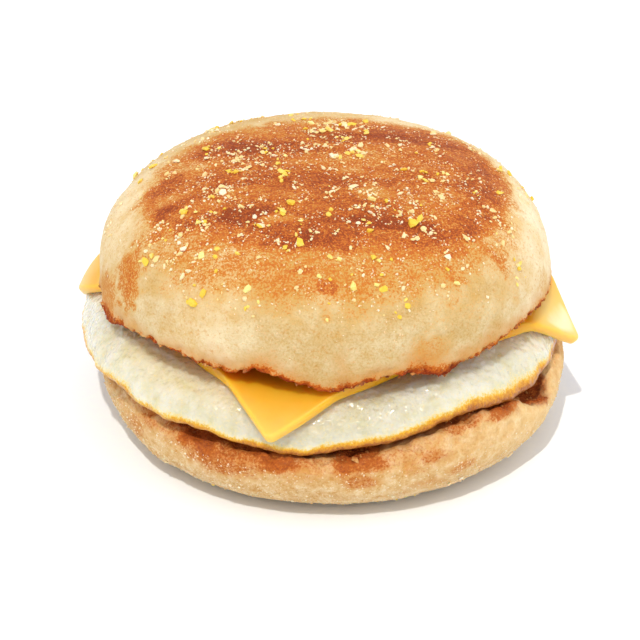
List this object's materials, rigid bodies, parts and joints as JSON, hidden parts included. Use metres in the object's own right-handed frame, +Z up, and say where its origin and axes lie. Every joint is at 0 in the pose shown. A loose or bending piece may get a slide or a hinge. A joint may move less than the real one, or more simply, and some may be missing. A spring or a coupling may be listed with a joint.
{
  "type": "breakfast sandwich",
  "caption": "Split English muffin closed on a round egg patty and a square cheese slice set cornerwise, so that its corners fold down over the egg's edge.",
  "frame": {"origin": "centre of the flat underside that the bottom half of the muffin rests on", "axes": "+Z up through the layers, -Y towards the front, where the lowest corner of the cheese hangs, +X to the right seen from the front"},
  "size_m": [0.1079, 0.1108, 0.058],
  "materials": {
    "muffin_crust": "matte griddled bread",
    "cooked_egg": "moist",
    "processed_cheese": "satin"
  },
  "bodies": {
    "root": {"muffin_bottom": "muffin_crust", "egg_patty": "cooked_egg", "cheese_slice": "processed_cheese", "muffin_top": "muffin_crust"}
  },
  "joints": []
}
